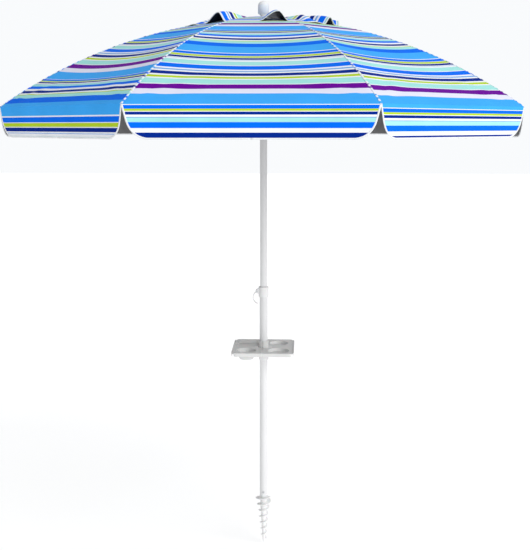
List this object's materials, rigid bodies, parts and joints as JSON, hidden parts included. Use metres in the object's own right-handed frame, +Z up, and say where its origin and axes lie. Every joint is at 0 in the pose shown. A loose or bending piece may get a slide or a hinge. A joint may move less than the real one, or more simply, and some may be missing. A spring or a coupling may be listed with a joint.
{
  "type": "beach umbrella",
  "caption": "Beach umbrella with a sand auger, telescoping pole, snack tray, push-button tilt and a vented, striped folding canopy with a scalloped valance.",
  "frame": {"origin": "tip of the sand auger, on the pole's axis", "axes": "+Z up the pole, ribs at 22.5 degrees and every 45 degrees after that, -Y towards the tray's slit"},
  "size_m": [1.8348, 1.8348, 2.205],
  "materials": {
    "powder_coat": "white powder coat, satin",
    "white_plastic": "white moulded plastic, satin",
    "tray_plastic": "white moulded plastic, fine grain",
    "inner_plastic": "white moulded plastic",
    "button_plastic": "black moulded plastic",
    "steel": "zinc plated",
    "rib_paint": "white enamel",
    "canopy_cloth": "striped woven polyester, silver-grey coating inside"
  },
  "bodies": {
    "lower_pole": {"lower_tube": "powder_coat", "sand_auger": "white_plastic", "auger_screw": "steel", "clamp_collar": "white_plastic", "clamp_pin": "steel"},
    "clamp_lever": {"clamp_lever": "white_plastic"},
    "tray_clip": {"tray_collar": "white_plastic"},
    "tray": {"tray": "tray_plastic"},
    "upper_pole": {"upper_tube": "powder_coat", "upper_tube_plug": "inner_plastic", "tilt_fork": "inner_plastic", "tilt_pin": "steel"},
    "top_pole": {"tilt_tongue": "inner_plastic", "top_tube": "powder_coat", "crown_hub": "inner_plastic", "crown_ring": "steel", "crown_cap": "inner_plastic", "vent_washer": "white_plastic", "finial": "white_plastic", "finial_screw": "steel", "runner_catch": "steel"},
    "tilt_button": {"tilt_button": "button_plastic"},
    "runner": {"runner": "inner_plastic"},
    "rib_1": {"rib_1": "rib_paint", "canopy_1": "canopy_cloth"},
    "strut_1": {"strut_1": "rib_paint"},
    "valance_1": {"valance_1": "canopy_cloth"},
    "rib_2": {"rib_2": "rib_paint", "canopy_2": "canopy_cloth"},
    "strut_2": {"strut_2": "rib_paint"},
    "valance_2": {"valance_2": "canopy_cloth"},
    "rib_3": {"rib_3": "rib_paint", "canopy_3": "canopy_cloth"},
    "strut_3": {"strut_3": "rib_paint"},
    "valance_3": {"valance_3": "canopy_cloth"},
    "rib_4": {"rib_4": "rib_paint", "canopy_4": "canopy_cloth"},
    "strut_4": {"strut_4": "rib_paint"},
    "valance_4": {"valance_4": "canopy_cloth"},
    "rib_5": {"rib_5": "rib_paint", "canopy_5": "canopy_cloth"},
    "strut_5": {"strut_5": "rib_paint"},
    "valance_5": {"valance_5": "canopy_cloth"},
    "rib_6": {"rib_6": "rib_paint", "canopy_6": "canopy_cloth"},
    "strut_6": {"strut_6": "rib_paint"},
    "valance_6": {"valance_6": "canopy_cloth"},
    "rib_7": {"rib_7": "rib_paint", "canopy_7": "canopy_cloth"},
    "strut_7": {"strut_7": "rib_paint"},
    "valance_7": {"valance_7": "canopy_cloth"},
    "rib_8": {"rib_8": "rib_paint", "canopy_8": "canopy_cloth"},
    "strut_8": {"strut_8": "rib_paint"},
    "valance_8": {"valance_8": "canopy_cloth"}
  },
  "joints": [
    {"name": "pole_height", "type": "slide", "parent": "lower_pole", "child": "upper_pole", "axis": [0, 0, 1], "range_m": [-0.35, 0.1]},
    {"name": "clamp_flip", "type": "hinge", "parent": "lower_pole", "child": "clamp_lever", "pos_m": [-0.026, 0, 1.078], "axis": [0, 1, 0], "range_deg": [0, 115]},
    {"name": "tray_height", "type": "slide", "parent": "lower_pole", "child": "tray_clip", "axis": [0, 0, 1], "range_m": [-0.3, 0.13]},
    {"name": "tray_swivel", "type": "hinge", "parent": "tray_clip", "child": "tray", "pos_m": [0, 0, 0.851], "axis": [0, 0, 1], "continuous": true},
    {"name": "canopy_tilt", "type": "hinge", "parent": "upper_pole", "child": "top_pole", "pos_m": [0, 0, 1.748], "axis": [0, 1, 0], "range_deg": [-30, 0]},
    {"name": "tilt_press", "type": "slide", "parent": "top_pole", "child": "tilt_button", "axis": [0, 1, 0], "range_m": [0, 0.0009], "stiffness_N_per_m": 900, "springref_m": -0.002},
    {"name": "canopy_fold", "type": "slide", "parent": "top_pole", "child": "runner", "axis": [0, 0, -1], "range_m": [0, 0.6306], "deforming": ["canopy_1", "valance_1", "canopy_2", "valance_2", "canopy_3", "valance_3", "canopy_4", "valance_4", "canopy_5", "valance_5", "canopy_6", "valance_6", "canopy_7", "valance_7", "canopy_8", "valance_8", "runner_catch"]},
    {"name": "rib_fold_1", "type": "hinge", "parent": "top_pole", "child": "rib_1", "pos_m": [0.02033, 0.00842, 2.133], "axis": [-0.3827, 0.9239, 0], "range_deg": [-1, 68.83]},
    {"name": "strut_fold_1", "type": "hinge", "parent": "rib_1", "child": "strut_1", "pos_m": [0.43206, 0.17896, 2.04177], "axis": [-0.3827, 0.9239, 0], "range_deg": [-124.04, 1]},
    {"name": "valance_hang_1", "type": "hinge", "parent": "rib_1", "child": "valance_1", "pos_m": [0.91464, 0.37886, 1.7965], "axis": [-0.3827, 0.9239, 0], "range_deg": [-68.83, 1]},
    {"name": "rib_fold_2", "type": "hinge", "parent": "top_pole", "child": "rib_2", "pos_m": [0.00842, 0.02033, 2.133], "axis": [-0.9239, 0.3827, 0], "range_deg": [-1, 68.83]},
    {"name": "strut_fold_2", "type": "hinge", "parent": "rib_2", "child": "strut_2", "pos_m": [0.17896, 0.43206, 2.04177], "axis": [-0.9239, 0.3827, 0], "range_deg": [-124.04, 1]},
    {"name": "valance_hang_2", "type": "hinge", "parent": "rib_2", "child": "valance_2", "pos_m": [0.37886, 0.91464, 1.7965], "axis": [-0.9239, 0.3827, 0], "range_deg": [-68.83, 1]},
    {"name": "rib_fold_3", "type": "hinge", "parent": "top_pole", "child": "rib_3", "pos_m": [-0.00842, 0.02033, 2.133], "axis": [-0.9239, -0.3827, 0], "range_deg": [-1, 68.83]},
    {"name": "strut_fold_3", "type": "hinge", "parent": "rib_3", "child": "strut_3", "pos_m": [-0.17896, 0.43206, 2.04177], "axis": [-0.9239, -0.3827, 0], "range_deg": [-124.04, 1]},
    {"name": "valance_hang_3", "type": "hinge", "parent": "rib_3", "child": "valance_3", "pos_m": [-0.37886, 0.91464, 1.7965], "axis": [-0.9239, -0.3827, 0], "range_deg": [-68.83, 1]},
    {"name": "rib_fold_4", "type": "hinge", "parent": "top_pole", "child": "rib_4", "pos_m": [-0.02033, 0.00842, 2.133], "axis": [-0.3827, -0.9239, 0], "range_deg": [-1, 68.83]},
    {"name": "strut_fold_4", "type": "hinge", "parent": "rib_4", "child": "strut_4", "pos_m": [-0.43206, 0.17896, 2.04177], "axis": [-0.3827, -0.9239, 0], "range_deg": [-124.04, 1]},
    {"name": "valance_hang_4", "type": "hinge", "parent": "rib_4", "child": "valance_4", "pos_m": [-0.91464, 0.37886, 1.7965], "axis": [-0.3827, -0.9239, 0], "range_deg": [-68.83, 1]},
    {"name": "rib_fold_5", "type": "hinge", "parent": "top_pole", "child": "rib_5", "pos_m": [-0.02033, -0.00842, 2.133], "axis": [0.3827, -0.9239, 0], "range_deg": [-1, 68.83]},
    {"name": "strut_fold_5", "type": "hinge", "parent": "rib_5", "child": "strut_5", "pos_m": [-0.43206, -0.17896, 2.04177], "axis": [0.3827, -0.9239, 0], "range_deg": [-124.04, 1]},
    {"name": "valance_hang_5", "type": "hinge", "parent": "rib_5", "child": "valance_5", "pos_m": [-0.91464, -0.37886, 1.7965], "axis": [0.3827, -0.9239, 0], "range_deg": [-68.83, 1]},
    {"name": "rib_fold_6", "type": "hinge", "parent": "top_pole", "child": "rib_6", "pos_m": [-0.00842, -0.02033, 2.133], "axis": [0.9239, -0.3827, 0], "range_deg": [-1, 68.83]},
    {"name": "strut_fold_6", "type": "hinge", "parent": "rib_6", "child": "strut_6", "pos_m": [-0.17896, -0.43206, 2.04177], "axis": [0.9239, -0.3827, 0], "range_deg": [-124.04, 1]},
    {"name": "valance_hang_6", "type": "hinge", "parent": "rib_6", "child": "valance_6", "pos_m": [-0.37886, -0.91464, 1.7965], "axis": [0.9239, -0.3827, 0], "range_deg": [-68.83, 1]},
    {"name": "rib_fold_7", "type": "hinge", "parent": "top_pole", "child": "rib_7", "pos_m": [0.00842, -0.02033, 2.133], "axis": [0.9239, 0.3827, 0], "range_deg": [-1, 68.83]},
    {"name": "strut_fold_7", "type": "hinge", "parent": "rib_7", "child": "strut_7", "pos_m": [0.17896, -0.43206, 2.04177], "axis": [0.9239, 0.3827, 0], "range_deg": [-124.04, 1]},
    {"name": "valance_hang_7", "type": "hinge", "parent": "rib_7", "child": "valance_7", "pos_m": [0.37886, -0.91464, 1.7965], "axis": [0.9239, 0.3827, 0], "range_deg": [-68.83, 1]},
    {"name": "rib_fold_8", "type": "hinge", "parent": "top_pole", "child": "rib_8", "pos_m": [0.02033, -0.00842, 2.133], "axis": [0.3827, 0.9239, 0], "range_deg": [-1, 68.83]},
    {"name": "strut_fold_8", "type": "hinge", "parent": "rib_8", "child": "strut_8", "pos_m": [0.43206, -0.17896, 2.04177], "axis": [0.3827, 0.9239, 0], "range_deg": [-124.04, 1]},
    {"name": "valance_hang_8", "type": "hinge", "parent": "rib_8", "child": "valance_8", "pos_m": [0.91464, -0.37886, 1.7965], "axis": [0.3827, 0.9239, 0], "range_deg": [-68.83, 1]}
  ],
  "couplings": [
    {"joint": "rib_fold_1", "follows": "canopy_fold", "rad_per_m": 1.8774},
    {"joint": "strut_fold_1", "follows": "canopy_fold", "rad_per_m": -3.4055},
    {"joint": "valance_hang_1", "follows": "canopy_fold", "rad_per_m": -1.8774},
    {"joint": "rib_fold_2", "follows": "canopy_fold", "rad_per_m": 1.8774},
    {"joint": "strut_fold_2", "follows": "canopy_fold", "rad_per_m": -3.4055},
    {"joint": "valance_hang_2", "follows": "canopy_fold", "rad_per_m": -1.8774},
    {"joint": "rib_fold_3", "follows": "canopy_fold", "rad_per_m": 1.8774},
    {"joint": "strut_fold_3", "follows": "canopy_fold", "rad_per_m": -3.4055},
    {"joint": "valance_hang_3", "follows": "canopy_fold", "rad_per_m": -1.8774},
    {"joint": "rib_fold_4", "follows": "canopy_fold", "rad_per_m": 1.8774},
    {"joint": "strut_fold_4", "follows": "canopy_fold", "rad_per_m": -3.4055},
    {"joint": "valance_hang_4", "follows": "canopy_fold", "rad_per_m": -1.8774},
    {"joint": "rib_fold_5", "follows": "canopy_fold", "rad_per_m": 1.8774},
    {"joint": "strut_fold_5", "follows": "canopy_fold", "rad_per_m": -3.4055},
    {"joint": "valance_hang_5", "follows": "canopy_fold", "rad_per_m": -1.8774},
    {"joint": "rib_fold_6", "follows": "canopy_fold", "rad_per_m": 1.8774},
    {"joint": "strut_fold_6", "follows": "canopy_fold", "rad_per_m": -3.4055},
    {"joint": "valance_hang_6", "follows": "canopy_fold", "rad_per_m": -1.8774},
    {"joint": "rib_fold_7", "follows": "canopy_fold", "rad_per_m": 1.8774},
    {"joint": "strut_fold_7", "follows": "canopy_fold", "rad_per_m": -3.4055},
    {"joint": "valance_hang_7", "follows": "canopy_fold", "rad_per_m": -1.8774},
    {"joint": "rib_fold_8", "follows": "canopy_fold", "rad_per_m": 1.8774},
    {"joint": "strut_fold_8", "follows": "canopy_fold", "rad_per_m": -3.4055},
    {"joint": "valance_hang_8", "follows": "canopy_fold", "rad_per_m": -1.8774}
  ]
}
